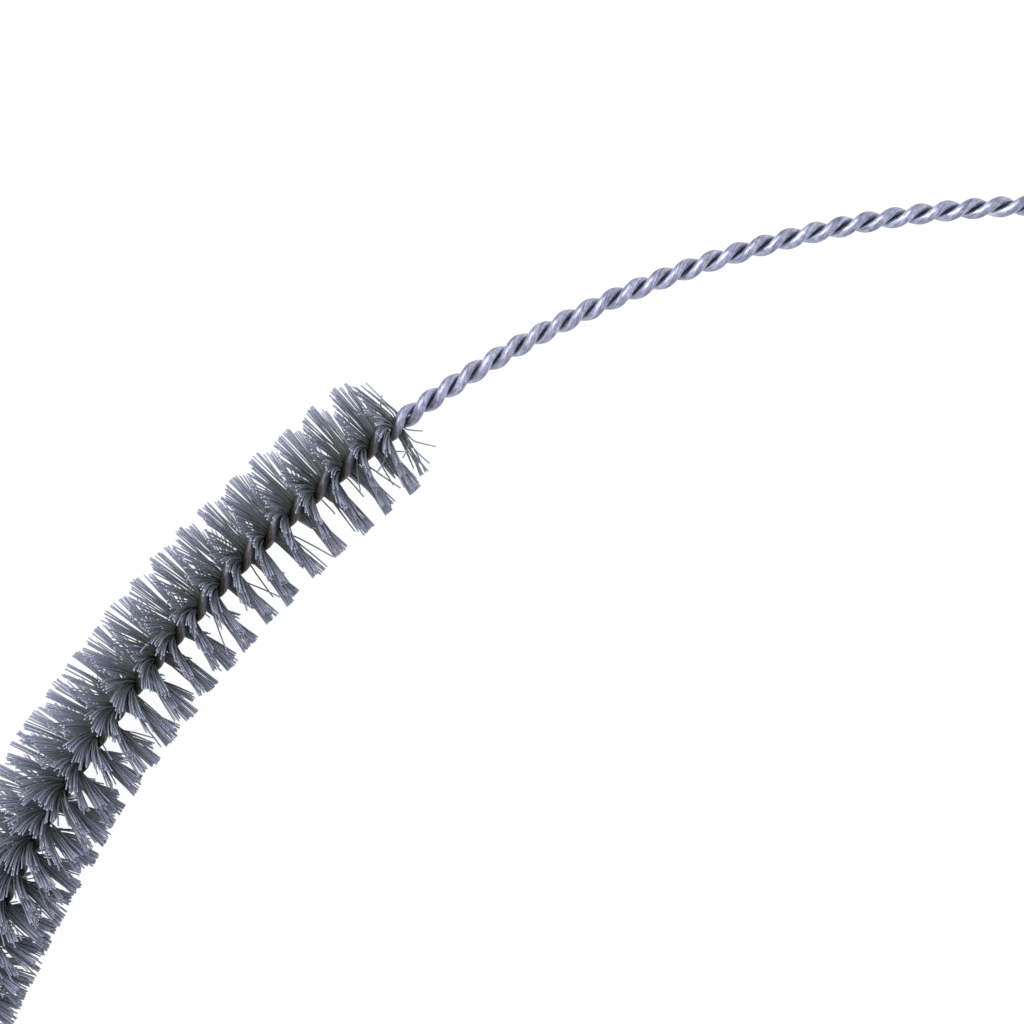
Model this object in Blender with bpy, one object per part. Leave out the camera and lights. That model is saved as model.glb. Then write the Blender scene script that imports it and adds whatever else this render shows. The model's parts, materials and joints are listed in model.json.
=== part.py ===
# Radiator brush, lying on its side in a bend.
# Two steel wires are twisted left-handed round a ribbon of nylon filaments, so that the
# filaments fan out as a continuous helical sheet. A turned beech handle with a steel ferrule
# holds the bare end of the wires. Metres, +Z up, origin on the floor under the middle of the
# whole brush. Distances along the brush count from the first filament: positive runs to the
# handle, negative runs to the tip.
from math import ceil, cos, pi, radians, sin

import bmesh
import bpy
from mathutils import Vector

# Twisted wires
WIRE_DIAMETER = 0.0025
WIRE_SIDES = 6
POINTS_PER_TURN = 8
CLEARANCE = 0.0003
STEM_LENGTH = 0.320
STEM_TURN_AT_HEAD = 0.01220
STEM_TURN_AT_HANDLE = 0.01340
TIP_WIRE_LENGTH = 0.004

# Bristle head
BRISTLE_TURNS = 17
HEAD_TURN_AT_STEM = 0.01640
HEAD_TURN_AT_TIP = 0.01400
TURN_EASE_LENGTH = 0.140
TURN_CHANGE_LENGTH = 0.010
PHASE_AT_HEAD_START = radians(107.0)
STRANDS_PER_SIDE = 11
BRISTLE_REACH = 0.0155
STRAND_TIP_WIDTH = 0.0015
STRAND_TIP_THICKNESS = 0.0009
RIBBON_THICKNESS = 0.0003
RIBBON_STAND_PROUD = 0.0001
FLOOR_CUT = 0.0005

# Bend of the whole brush, seen from above
HEADING_AT_HEAD_START = radians(36.5)
STEM_BEND_RADIUS = 0.263
HEAD_BEND_RADIUS = 0.312
STRAIGHT_AT_HANDLE = 0.030

# Turned handle
HANDLE_LENGTH = 0.125
HANDLE_BELLY_RADIUS = 0.0125
HANDLE_WAIST_RADIUS = 0.0098
HANDLE_KNOB_RADIUS = 0.0120
HANDLE_BUTT_RADIUS = 0.0060
HANDLE_SHOULDER_STEP = 0.0005
SPIGOT_RADIUS = 0.0066
SPIGOT_LENGTH = 0.0150
BELLY_FROM_FRONT = 0.050
WAIST_FROM_BUTT = 0.039
KNOB_FROM_BUTT = 0.018
SOCKET_DEPTH = 0.050
HANGING_HOLE_RADIUS = 0.0040
HANGING_HOLE_FROM_BUTT = 0.014
HANDLE_SIDES = 28
SOCKET_SIDES = 14
EASE_STEPS = 4

# Ferrule
FERRULE_WALL = 0.0008
FERRULE_FRONT = 0.0010
FERRULE_CHAMFER = 0.0010
FERRULE_BEAD_HEIGHT = 0.0006
FERRULE_BEAD_LENGTH = 0.0020

# Places that follow from the sizes above
WIRE_RADIUS = WIRE_DIAMETER / 2
STEM_LAY_RADIUS = WIRE_RADIUS + CLEARANCE / 2
HEAD_LAY_RADIUS = WIRE_RADIUS + CLEARANCE + RIBBON_THICKNESS / 2
RIBBON_HALF_WIDTH = HEAD_LAY_RADIUS + WIRE_RADIUS + RIBBON_STAND_PROUD
LINES_PER_TURN = 2 * STRANDS_PER_SIDE
STEM_OUTER_RADIUS = STEM_LAY_RADIUS + WIRE_RADIUS
SOCKET_RADIUS = (STEM_OUTER_RADIUS + CLEARANCE) / cos(pi / SOCKET_SIDES)
FERRULE_INNER_RADIUS = (SPIGOT_RADIUS + CLEARANCE) / cos(pi / HANDLE_SIDES)
FERRULE_OUTER_RADIUS = FERRULE_INNER_RADIUS + FERRULE_WALL
HEAD_AXIS_HEIGHT = BRISTLE_REACH - FLOOR_CUT
HANDLE_AXIS_HEIGHT = max(HANDLE_BELLY_RADIUS, HANDLE_KNOB_RADIUS)
HANDLE_SHOULDER_RADIUS = FERRULE_OUTER_RADIUS + HANDLE_SHOULDER_STEP
HANDLE_FRONT = STEM_LENGTH + FERRULE_FRONT + CLEARANCE
WALK_STEPS_PER_TURN = 8 * LINES_PER_TURN
SLOPE_STEP = 0.0001


def remove_objects():
    for obj in list(bpy.data.objects):
        bpy.data.objects.remove(obj, do_unlink=True)


def ease(share):
    """A smooth rise from 0 to 1 as share goes from 0 to 1, level at both ends."""
    share = min(max(share, 0.0), 1.0)
    return share * share * (3 - 2 * share)


def mix(start, end, share):
    return start + (end - start) * share


# Twist: how far one turn of the wires runs, and where along the brush each turn lies
def turn_length(distance):
    """Length of one full turn of the wires at a distance along the brush."""
    if distance >= 0:
        return mix(STEM_TURN_AT_HEAD, STEM_TURN_AT_HANDLE, min(distance / STEM_LENGTH, 1))
    in_head = mix(HEAD_TURN_AT_STEM, HEAD_TURN_AT_TIP, min(-distance / TURN_EASE_LENGTH, 1))
    return mix(STEM_TURN_AT_HEAD, in_head, ease(-distance / TURN_CHANGE_LENGTH))


def distances_by_turn(direction, length):
    """Distances along the brush at each small equal step of the twist, until length is passed."""
    walked = [0.0]
    while abs(walked[-1]) < length:
        here = walked[-1]
        half_way = here + direction * turn_length(here) / WALK_STEPS_PER_TURN / 2
        walked.append(here + direction * turn_length(half_way) / WALK_STEPS_PER_TURN)
    return walked


LONGEST_HEAD = (BRISTLE_TURNS + 1) * max(HEAD_TURN_AT_STEM, HEAD_TURN_AT_TIP)
TO_TIP = distances_by_turn(-1, LONGEST_HEAD + TIP_WIRE_LENGTH)
TO_HANDLE = distances_by_turn(1, HANDLE_FRONT + SOCKET_DEPTH)


def distance_at(turns):
    """Distance along the brush after a number of turns, negative turns towards the tip."""
    table = TO_TIP if turns < 0 else TO_HANDLE
    steps = abs(turns) * WALK_STEPS_PER_TURN
    low = min(int(steps), len(table) - 2)
    return mix(table[low], table[low + 1], steps - low)


def turns_at(distance):
    """Turns of the twist between the first filament and a distance along the brush."""
    table = TO_TIP if distance < 0 else TO_HANDLE
    passed = sum(1 for walked in table if abs(walked) < abs(distance))
    low = min(max(passed - 1, 0), len(table) - 2)
    share = (distance - table[low]) / (table[low + 1] - table[low])
    return (low + share) / WALK_STEPS_PER_TURN * (-1 if distance < 0 else 1)


HEAD_LENGTH = -distance_at(-BRISTLE_TURNS)
BEND_END = STEM_LENGTH - STRAIGHT_AT_HANDLE


# Centre line of the brush
def heading_at(distance):
    """Heading of the centre line in plan, towards the handle."""
    if distance < 0:
        return HEADING_AT_HEAD_START - distance / HEAD_BEND_RADIUS
    return HEADING_AT_HEAD_START - min(distance, BEND_END) / STEM_BEND_RADIUS


def plan_point(distance):
    """Plan position of the centre line: two arcs that meet at the first filament."""
    radius = HEAD_BEND_RADIUS if distance < 0 else STEM_BEND_RADIUS
    start = HEADING_AT_HEAD_START
    heading = heading_at(distance)
    point = Vector((radius * (sin(start) - sin(heading)), radius * (cos(heading) - cos(start)), 0))
    past_bend = max(distance - BEND_END, 0)
    return point + past_bend * Vector((cos(heading), sin(heading), 0))


def height_at(distance):
    """Height of the centre line, from the head's down to the handle's."""
    return mix(HEAD_AXIS_HEIGHT, HANDLE_AXIS_HEIGHT, ease(distance / STEM_LENGTH))


def axes_at(distance):
    """Centre point and the directions along, to the left and up from the centre line."""
    heading = heading_at(distance)
    slope = (height_at(distance + SLOPE_STEP) - height_at(distance - SLOPE_STEP)) / (2 * SLOPE_STEP)
    along = Vector((cos(heading), sin(heading), slope)).normalized()
    left = Vector((-sin(heading), cos(heading), 0))
    centre = plan_point(distance) + Vector((0, 0, height_at(distance)))
    return centre, along, left, along.cross(left)


def wire_angle(turns):
    """Angle of the first wire round the centre line. The twist is left-handed."""
    return PHASE_AT_HEAD_START - 2 * pi * turns


def lay_radius(distance):
    """Distance of each wire's centre from the centre line: the head's wires hold the ribbon."""
    return mix(HEAD_LAY_RADIUS, STEM_LAY_RADIUS, ease(distance / (TURN_CHANGE_LENGTH / 2)))


# Making of meshes
def material(name, colour, roughness, metallic):
    made = bpy.data.materials.new(name)
    made.use_nodes = True
    shader = made.node_tree.nodes["Principled BSDF"]
    shader.inputs["Base Color"].default_value = (*colour, 1.0)
    shader.inputs["Roughness"].default_value = roughness
    shader.inputs["Metallic"].default_value = metallic
    made.diffuse_color = (*colour, 1.0)
    return made


def add_object(name, mesh_data, finish, sharp_angle):
    """Turn a bmesh into a named object whose faces point outwards."""
    bmesh.ops.recalc_face_normals(mesh_data, faces=mesh_data.faces)
    mesh = bpy.data.meshes.new(name)
    mesh_data.to_mesh(mesh)
    mesh_data.free()
    mesh.shade_smooth()
    mesh.set_sharp_from_angle(angle=sharp_angle)
    mesh.materials.append(finish)
    obj = bpy.data.objects.new(name, mesh)
    bpy.context.scene.collection.objects.link(obj)
    return obj


def bridge(mesh_data, first, second):
    """Join two rings of as many vertices with a band of quads."""
    count = len(first)
    for index in range(count):
        after = (index + 1) % count
        mesh_data.faces.new((first[index], first[after], second[after], second[index]))


# Wires
def wire_strand(name, side, finish):
    """One wire: a tube round its own helix, turned so that a flat faces the other wire."""
    first_turn = turns_at(-HEAD_LENGTH - TIP_WIRE_LENGTH)
    last_turn = turns_at(HANDLE_FRONT + SOCKET_DEPTH - CLEARANCE - WIRE_DIAMETER)
    steps = ceil((last_turn - first_turn) * POINTS_PER_TURN)
    centres = []
    outwards = []
    for step in range(steps + 1):
        turns = mix(first_turn, last_turn, step / steps)
        distance = distance_at(turns)
        centre, along, left, up = axes_at(distance)
        angle = wire_angle(turns) + side * pi
        outward = cos(angle) * left + sin(angle) * up
        centres.append(centre + lay_radius(distance) * outward)
        outwards.append(outward)
    mesh_data = bmesh.new()
    rings = []
    for step in range(steps + 1):
        run = (centres[min(step + 1, steps)] - centres[max(step - 1, 0)]).normalized()
        across = run.cross(outwards[step]).normalized()
        outward = across.cross(run)
        ring = []
        for corner in range(WIRE_SIDES):
            turn = 2 * pi * (corner + 0.5) / WIRE_SIDES
            offset = WIRE_RADIUS * (cos(turn) * outward + sin(turn) * across)
            ring.append(mesh_data.verts.new(centres[step] + offset))
        rings.append(ring)
    for first, second in zip(rings, rings[1:]):
        bridge(mesh_data, first, second)
    mesh_data.faces.new(rings[0])
    mesh_data.faces.new(rings[-1])
    return add_object(name, mesh_data, finish, radians(50)), centres


def least_gap_to_itself(centres):
    """Least clear distance between two stretches of one wire that are half a turn apart or more."""
    apart = POINTS_PER_TURN // 2
    least = min(
        (centres[near] - centres[far]).length
        for near in range(len(centres))
        for far in range(near + apart, min(near + 3 * POINTS_PER_TURN, len(centres)))
    )
    return least - WIRE_DIAMETER


# Bristles
def strand_tip(mesh_data, root, centre, outward):
    """Four tip corners of a strand that widens from its root towards its cut end."""
    run = ((root[3].co + root[2].co) - (root[0].co + root[1].co)).normalized()
    thick = outward.cross(run).normalized()
    if thick.dot(root[0].co - root[1].co) < 0:
        thick.negate()
    corners = []
    for run_sign, thick_sign in ((-1, 1), (-1, -1), (1, -1), (1, 1)):
        offset = run_sign * STRAND_TIP_WIDTH * run + thick_sign * STRAND_TIP_THICKNESS * thick
        point = centre + offset / 2
        point.z = max(point.z, 0.0)
        corners.append(mesh_data.verts.new(point))
    return corners


def bristle_turn(number, finish):
    """One turn of the ribbon between the wires, with the strands that stand on its two edges."""
    mesh_data = bmesh.new()
    lines = []
    for line in range(LINES_PER_TURN):
        turns = -(number + (line + 0.5) / LINES_PER_TURN)
        centre, along, left, up = axes_at(distance_at(turns))
        angle = wire_angle(turns)
        thick = (cos(angle) * left + sin(angle) * up) * RIBBON_THICKNESS / 2
        wide = (-sin(angle) * left + cos(angle) * up) * RIBBON_HALF_WIDTH
        faces = []
        for face_sign in (1, -1):
            row = [centre + place * wide + face_sign * thick for place in (-1, 0, 1)]
            faces.append([mesh_data.verts.new(point) for point in row])
        lines.append(faces)
    for here, after in zip(lines, lines[1:]):
        for face in (0, 1):
            for column in (0, 1):
                corners = (here[face][column], here[face][column + 1])
                mesh_data.faces.new((*corners, after[face][column + 1], after[face][column]))
    for faces in (lines[0], lines[-1]):
        for column in (0, 1):
            corners = (faces[0][column], faces[0][column + 1])
            mesh_data.faces.new((*corners, faces[1][column + 1], faces[1][column]))
    for index, (here, after) in enumerate(zip(lines, lines[1:])):
        for edge, edge_sign in ((0, -1), (2, 1)):
            root = (here[0][edge], here[1][edge], after[1][edge], after[0][edge])
            if index % 2:
                mesh_data.faces.new(root)
                continue
            turns = -(number + (index + 1) / LINES_PER_TURN)
            centre, along, left, up = axes_at(distance_at(turns))
            angle = wire_angle(turns)
            outward = edge_sign * (-sin(angle) * left + cos(angle) * up)
            tip = strand_tip(mesh_data, root, centre + BRISTLE_REACH * outward, outward)
            bridge(mesh_data, root, tip)
            mesh_data.faces.new(tip)
    return add_object(f"bristle_turn_{number + 1:02d}", mesh_data, finish, radians(30))


# Turned pieces
def turned_ring(mesh_data, place, radius, sides):
    """Ring round the handle's axis, at a place behind the handle's front."""
    centre, along, left, up = axes_at(HANDLE_FRONT)
    ring = []
    for side in range(sides):
        turn = 2 * pi * side / sides
        offset = place * along + radius * (cos(turn) * left + sin(turn) * up)
        ring.append(mesh_data.verts.new(centre + offset))
    return ring


def eased_profile(stations):
    """Profile points that swell and narrow smoothly from one station to the next."""
    points = []
    for (place, radius), (next_place, next_radius) in zip(stations, stations[1:]):
        for step in range(EASE_STEPS):
            share = step / EASE_STEPS
            points.append((mix(place, next_place, share), mix(radius, next_radius, ease(share))))
    points.append(stations[-1])
    return points


def handle_profile():
    """Outer profile of the handle from its spigot to its butt."""
    shoulder = SPIGOT_LENGTH + CLEARANCE
    points = [(0.0, SPIGOT_RADIUS), (shoulder, SPIGOT_RADIUS)]
    points += eased_profile([
        (shoulder, HANDLE_SHOULDER_RADIUS),
        (BELLY_FROM_FRONT, HANDLE_BELLY_RADIUS),
        (HANDLE_LENGTH - WAIST_FROM_BUTT, HANDLE_WAIST_RADIUS),
        (HANDLE_LENGTH - KNOB_FROM_BUTT, HANDLE_KNOB_RADIUS),
    ])
    for step in range(1, EASE_STEPS + 2):
        turn = pi / 2 * step / (EASE_STEPS + 1)
        place = HANDLE_LENGTH - KNOB_FROM_BUTT * (1 - sin(turn))
        radius = mix(HANDLE_BUTT_RADIUS, HANDLE_KNOB_RADIUS, cos(turn))
        points.append((place, radius))
    return points


def handle(finish):
    """Beech handle with a blind socket for the wires and a hole to hang it by."""
    mesh_data = bmesh.new()
    rings = [turned_ring(mesh_data, place, radius, HANDLE_SIDES) for place, radius in handle_profile()]
    for first, second in zip(rings, rings[1:]):
        bridge(mesh_data, first, second)
    mesh_data.faces.new(rings[0])
    mesh_data.faces.new(rings[-1])
    body = add_object("handle", mesh_data, finish, radians(35))
    cut(body, "socket_cutter", socket_cutter())
    cut(body, "hanging_hole_cutter", hanging_hole_cutter())
    return body


def cut(body, name, mesh_data):
    """Cut a hidden cutter out of a body with an exact Boolean."""
    cutter = add_object(name, mesh_data, body.data.materials[0], radians(35))
    cutter.hide_render = True
    cutter.display_type = "WIRE"
    modifier = body.modifiers.new(name, "BOOLEAN")
    modifier.operation = "DIFFERENCE"
    modifier.solver = "EXACT"
    modifier.object = cutter


def socket_cutter():
    mesh_data = bmesh.new()
    front = turned_ring(mesh_data, -FERRULE_FRONT, SOCKET_RADIUS, SOCKET_SIDES)
    back = turned_ring(mesh_data, SOCKET_DEPTH, SOCKET_RADIUS, SOCKET_SIDES)
    bridge(mesh_data, front, back)
    mesh_data.faces.new(front)
    mesh_data.faces.new(back)
    return mesh_data


def hanging_hole_cutter():
    centre, along, left, up = axes_at(HANDLE_FRONT)
    middle = centre + (HANDLE_LENGTH - HANGING_HOLE_FROM_BUTT) * along
    mesh_data = bmesh.new()
    rings = []
    for end_sign in (-1, 1):
        ring = []
        for side in range(SOCKET_SIDES):
            turn = 2 * pi * side / SOCKET_SIDES
            offset = HANGING_HOLE_RADIUS * (cos(turn) * along + sin(turn) * left)
            ring.append(mesh_data.verts.new(middle + offset + end_sign * 2 * HANDLE_KNOB_RADIUS * up))
        rings.append(ring)
    bridge(mesh_data, *rings)
    mesh_data.faces.new(rings[0])
    mesh_data.faces.new(rings[1])
    return mesh_data


def ferrule(finish):
    """Pressed steel cup over the spigot, with a hole in its front for the wires."""
    inner = FERRULE_INNER_RADIUS
    outer = FERRULE_OUTER_RADIUS
    front = -FERRULE_FRONT - CLEARANCE
    back = SPIGOT_LENGTH
    bead = back - FERRULE_BEAD_LENGTH
    profile = [
        (-CLEARANCE, SOCKET_RADIUS),
        (front, SOCKET_RADIUS),
        (front, outer - FERRULE_CHAMFER),
        (front + FERRULE_CHAMFER, outer),
        (bead, outer),
        (bead + FERRULE_BEAD_LENGTH / 3, outer + FERRULE_BEAD_HEIGHT),
        (back - FERRULE_BEAD_LENGTH / 3, outer + FERRULE_BEAD_HEIGHT),
        (back, outer),
        (back, inner),
        (-CLEARANCE, inner),
    ]
    mesh_data = bmesh.new()
    rings = [turned_ring(mesh_data, place, radius, HANDLE_SIDES) for place, radius in profile]
    for first, second in zip(rings, rings[1:] + rings[:1]):
        bridge(mesh_data, first, second)
    return add_object("ferrule", mesh_data, finish, radians(35))


def stand_at_origin(objects):
    """Move all the meshes together so that the origin is under the middle of the brush."""
    points = [vertex.co for obj in objects for vertex in obj.data.vertices if not obj.hide_render]
    low = Vector([min(point[axis] for point in points) for axis in range(3)])
    high = Vector([max(point[axis] for point in points) for axis in range(3)])
    shift = Vector((-(low.x + high.x) / 2, -(low.y + high.y) / 2, -low.z))
    for obj in objects:
        for vertex in obj.data.vertices:
            vertex.co += shift
    return shift, high - low


remove_objects()
galvanised_steel = material("galvanised_steel", (0.33, 0.35, 0.42), 0.35, 0.9)
grey_nylon = material("grey_nylon", (0.17, 0.19, 0.21), 0.5, 0.0)
beech = material("beech", (0.62, 0.42, 0.24), 0.5, 0.0)
ferrule_steel = material("ferrule_steel", (0.55, 0.55, 0.57), 0.25, 1.0)

strand_a, centres_a = wire_strand("wire_strand_a", 0, galvanised_steel)
strand_b, centres_b = wire_strand("wire_strand_b", 1, galvanised_steel)
for number in range(BRISTLE_TURNS):
    bristle_turn(number, grey_nylon)
handle(beech)
ferrule(ferrule_steel)
shift, overall = stand_at_origin(list(bpy.data.objects))

print(f"least gap of wire a to itself {least_gap_to_itself(centres_a) * 1000:.2f} mm")
print(f"least gap of wire b to itself {least_gap_to_itself(centres_b) * 1000:.2f} mm")
print(f"head {HEAD_LENGTH * 1000:.1f} mm, strands {2 * STRANDS_PER_SIDE * BRISTLE_TURNS}")
print("first filament at", [round(value * 1000, 2) for value in shift])
print("overall", [round(value * 1000, 1) for value in overall])
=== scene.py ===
import json
from math import ceil, cos, exp, pi, radians, sin

import bpy
import numpy as np
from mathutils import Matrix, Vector


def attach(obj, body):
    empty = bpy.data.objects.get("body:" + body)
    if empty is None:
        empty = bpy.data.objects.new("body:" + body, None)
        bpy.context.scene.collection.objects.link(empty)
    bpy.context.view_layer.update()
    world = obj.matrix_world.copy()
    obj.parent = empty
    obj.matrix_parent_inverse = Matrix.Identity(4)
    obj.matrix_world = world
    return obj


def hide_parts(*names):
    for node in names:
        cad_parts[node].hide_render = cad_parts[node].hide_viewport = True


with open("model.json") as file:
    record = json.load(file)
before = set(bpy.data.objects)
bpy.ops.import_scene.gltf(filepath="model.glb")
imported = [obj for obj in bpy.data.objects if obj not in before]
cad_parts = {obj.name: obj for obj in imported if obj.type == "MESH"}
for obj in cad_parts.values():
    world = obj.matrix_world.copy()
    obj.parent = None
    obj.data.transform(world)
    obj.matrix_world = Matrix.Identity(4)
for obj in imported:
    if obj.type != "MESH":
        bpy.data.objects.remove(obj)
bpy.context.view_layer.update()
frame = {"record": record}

bpy.ops.object.select_all(action="DESELECT")


# The two stem wires: galvanised steel wires of 2.5 mm, twisted left-handed by machine from the
# tip of the head, through the bare stem, to inside the handle. In the head they pinch the
# filaments. The brush has been bent by hand into an arch, so the wires follow two arcs.
WIRE_RADIUS = 0.00125
STEM_LAY_RADIUS = 0.00124
HEAD_LAY_RADIUS = 0.00150
WIRE_POINTS_PER_TURN = 26
WIRE_SIDES = 16

# Distances along the brush are measured from the first filament: positive to the handle and
# negative to the tip. One turn of the twist is longer in the head, where the filaments keep the
# wires apart.
STEM_LENGTH = 0.320
HEAD_TURNS = 17
TIP_WIRE_LENGTH = 0.004
HANDLE_FRONT = 0.3213
HANDLE_LENGTH = 0.125
WIRE_END_IN_HANDLE = 0.045
STEM_TURN_AT_HEAD = 0.01220
STEM_TURN_AT_HANDLE = 0.01340
HEAD_TURN_AT_STEM = 0.01640
HEAD_TURN_AT_TIP = 0.01400
TURN_EASE_LENGTH = 0.140
TURN_CHANGE_LENGTH = 0.010
WALK_STEPS_PER_TURN = 176

# The bend: an arc for the head, a tighter one for the stem, and a straight end at the handle.
HEAD_BEND_RADIUS = 0.312
STEM_BEND_RADIUS = 0.263
STEM_BEND_END = 0.290
HEADING_AT_HEAD_START = radians(36.5)
PHASE_AT_HEAD_START = radians(107.0)
HEAD_AXIS_HEIGHT = 0.0150
HANDLE_AXIS_HEIGHT = 0.0125


def ease(share):
    """Smooth step from 0 to 1."""
    share = min(max(share, 0.0), 1.0)
    return share * share * (3 - 2 * share)


def mix(start, end, share):
    """Value at a share of the way from start to end."""
    return start + (end - start) * share


def turn_length(distance):
    """Length of one turn of the twist at a distance along the brush."""
    if distance >= 0:
        return mix(STEM_TURN_AT_HEAD, STEM_TURN_AT_HANDLE, min(distance / STEM_LENGTH, 1))
    in_head = mix(HEAD_TURN_AT_STEM, HEAD_TURN_AT_TIP, min(-distance / TURN_EASE_LENGTH, 1))
    return mix(STEM_TURN_AT_HEAD, in_head, ease(-distance / TURN_CHANGE_LENGTH))


def distances_by_turn(direction, length):
    """Distances after each small equal part of a turn, walked from the first filament."""
    walked = [0.0]
    while abs(walked[-1]) < length:
        here = walked[-1]
        half_way = here + direction * turn_length(here) / WALK_STEPS_PER_TURN / 2
        walked.append(here + direction * turn_length(half_way) / WALK_STEPS_PER_TURN)
    return walked


TO_TIP = distances_by_turn(-1, (HEAD_TURNS + 1) * HEAD_TURN_AT_STEM)
TO_HANDLE = distances_by_turn(1, HANDLE_FRONT + HANDLE_LENGTH)


def distance_at(turns):
    """Distance along the brush after a number of turns, negative turns towards the tip."""
    table = TO_TIP if turns < 0 else TO_HANDLE
    steps = abs(turns) * WALK_STEPS_PER_TURN
    low = min(int(steps), len(table) - 2)
    return mix(table[low], table[low + 1], steps - low)


def turns_at(distance):
    """Turns of the twist from the first filament to a distance along the brush."""
    table = TO_TIP if distance < 0 else TO_HANDLE
    passed = sum(1 for walked in table if abs(walked) < abs(distance))
    low = min(max(passed - 1, 0), len(table) - 2)
    share = (distance - table[low]) / (table[low + 1] - table[low])
    return (low + share) / WALK_STEPS_PER_TURN * (-1 if distance < 0 else 1)


def heading_at(distance):
    """Direction of the brush as it lies, as an angle from the x axis."""
    if distance < 0:
        return HEADING_AT_HEAD_START - distance / HEAD_BEND_RADIUS
    return HEADING_AT_HEAD_START - min(distance, STEM_BEND_END) / STEM_BEND_RADIUS


def unplaced_point(distance):
    """Point of the brush's centre line, as if the first filament stood at the origin."""
    radius = HEAD_BEND_RADIUS if distance < 0 else STEM_BEND_RADIUS
    start = HEADING_AT_HEAD_START
    heading = heading_at(distance)
    past_bend = max(distance - STEM_BEND_END, 0)
    height = mix(HEAD_AXIS_HEIGHT, HANDLE_AXIS_HEIGHT, ease(distance / STEM_LENGTH))
    return Vector((
        radius * (sin(start) - sin(heading)) + past_bend * cos(heading),
        radius * (cos(heading) - cos(start)) + past_bend * sin(heading),
        height,
    ))


butt_mount = next(mount for mount in frame["record"]["mounts"] if mount["name"] == "butt_face")
to_frame = Vector(butt_mount["pos_m"]) - unplaced_point(HANDLE_FRONT + HANDLE_LENGTH)
to_frame.z = 0.0


def axes_at(distance):
    """Centre point, and the directions along, to the left of and up from the centre line."""
    heading = heading_at(distance)
    along = Vector((cos(heading), sin(heading), 0))
    left = Vector((-sin(heading), cos(heading), 0))
    return unplaced_point(distance) + to_frame, along, left, Vector((0, 0, 1))


def wire_angle(turns):
    """Angle of the first wire round the centre line, from its left side upwards."""
    return PHASE_AT_HEAD_START - 2 * pi * turns


def mesh_piece(name, points, faces, uvs, material, sharp_angle):
    """Object at the origin from points and faces, with one UV pair for each face corner."""
    mesh = bpy.data.meshes.new(name)
    mesh.from_pydata(points, [], faces)
    layer = mesh.uv_layers.new(name="UVMap")
    layer.data.foreach_set("uv", np.asarray(uvs, dtype=np.float32).ravel())
    mesh.materials.append(material)
    mesh.shade_smooth()
    mesh.set_sharp_from_angle(angle=sharp_angle)
    mesh.update()
    made = bpy.data.objects.new(name, mesh)
    bpy.context.scene.collection.objects.link(made)
    return made


def tube(rings, along_values):
    """Faces and UVs of a closed tube through rings of points. UV: along, then around."""
    sides = len(rings[0])
    points = [point for ring in rings for point in ring]
    faces = []
    uvs = []
    for index in range(len(rings) - 1):
        low = index * sides
        for side in range(sides):
            after = (side + 1) % sides
            faces.append([low + side, low + after, low + sides + after, low + sides + side])
            uvs += [
                (along_values[index], side / sides),
                (along_values[index], (side + 1) / sides),
                (along_values[index + 1], (side + 1) / sides),
                (along_values[index + 1], side / sides),
            ]
    first_cap = list(range(sides))
    last_cap = list(range(len(points) - sides, len(points)))
    faces += [first_cap[::-1], last_cap]
    uvs += [(along_values[0], 0.0)] * sides + [(along_values[-1], 0.0)] * sides
    return points, faces, uvs


def linear(hex_colour):
    """sRGB hex colour as linear RGBA."""
    parts = [int(hex_colour[place:place + 2], 16) / 255 for place in (1, 3, 5)]
    parts = [part / 12.92 if part <= 0.04045 else ((part + 0.055) / 1.055) ** 2.4 for part in parts]
    return (*parts, 1)


def add_node(tree, kind, settings=None, inputs=None, stops=()):
    """Add a node with its settings, links and ramp stops; an input is a value or an output."""
    node = tree.nodes.new(kind)
    for name, value in (settings or {}).items():
        setattr(node, name, value)
    for name, value in (inputs or {}).items():
        if isinstance(value, bpy.types.NodeSocket):
            tree.links.new(value, node.inputs[name])
        else:
            node.inputs[name].default_value = value
    for index, (place, colour) in enumerate(stops):
        if index >= len(node.color_ramp.elements):
            node.color_ramp.elements.new(place)
        node.color_ramp.elements[index].position = place
        node.color_ramp.elements[index].color = linear(colour)
    return node


def new_material(name, roughness, metallic):
    """Material with the usual shader: the material, its node tree and its shader."""
    made = bpy.data.materials.new(name)
    made.use_nodes = True
    shader = made.node_tree.nodes["Principled BSDF"]
    shader.inputs["Roughness"].default_value = roughness
    shader.inputs["Metallic"].default_value = metallic
    return made, made.node_tree, shader


# Hot-dip zinc on drawn steel: satin and faintly blue, with cloudy crystals about 1 mm across
# and a slightly duller crest where the wire is rubbed. The groove where the wires meet is painted
# darker and browner as shade, and keeps dull oxide and drawing soap, so it is less metallic. In
# the head the side of each wire that faces the other wire is painted darker and browner, as
# shade from the filaments and the other wire, with brown soil over it. Real lines of the drawing
# die are too fine to show, so they are drawn coarser: 0.4 mm apart round the wire and some 7 mm
# long.
CRYSTALS_PER_METRE = 900.0
DIE_LINE_STRETCH = (45.0, 6.5, 1.0)
DIE_LINE_SCALE = 3.0
DIE_LINE_DEPTH = 0.00004
# Where the painted shade and soil on the wires begin and where they are full, as distances along the
# brush.
SHADE_AND_SOIL_STARTS = 0.002
SHADE_AND_SOIL_FULL = -0.006

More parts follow.
